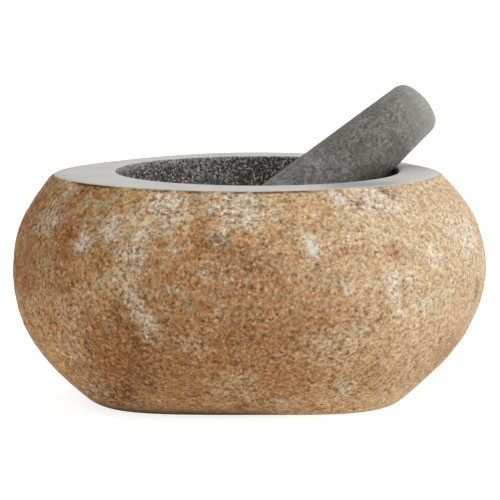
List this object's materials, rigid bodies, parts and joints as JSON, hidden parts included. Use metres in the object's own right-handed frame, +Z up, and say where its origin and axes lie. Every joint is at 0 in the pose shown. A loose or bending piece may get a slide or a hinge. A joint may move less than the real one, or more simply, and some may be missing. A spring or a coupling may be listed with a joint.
{
  "type": "mortar and pestle",
  "caption": "River-boulder mortar with rough crust, honed flat rim and round ground bowl, and a plain tapered stone pestle leaning in it.",
  "frame": {"origin": "centre of the bounding box at the height of the ground foot", "axes": "+Z up; -Y is the front, and +X is the side that the pestle leans to"},
  "size_m": [0.2407, 0.2299, 0.1578],
  "materials": {
    "river_stone": "matte",
    "pestle_stone": "matte"
  },
  "bodies": {
    "mortar": {"mortar": "river_stone"},
    "pestle": {"pestle": "pestle_stone"}
  },
  "joints": [
    {"name": "pestle_lift", "type": "slide", "parent": "mortar", "child": "pestle", "axis": [0, 0, 1], "range_m": [0, 0.12]}
  ]
}
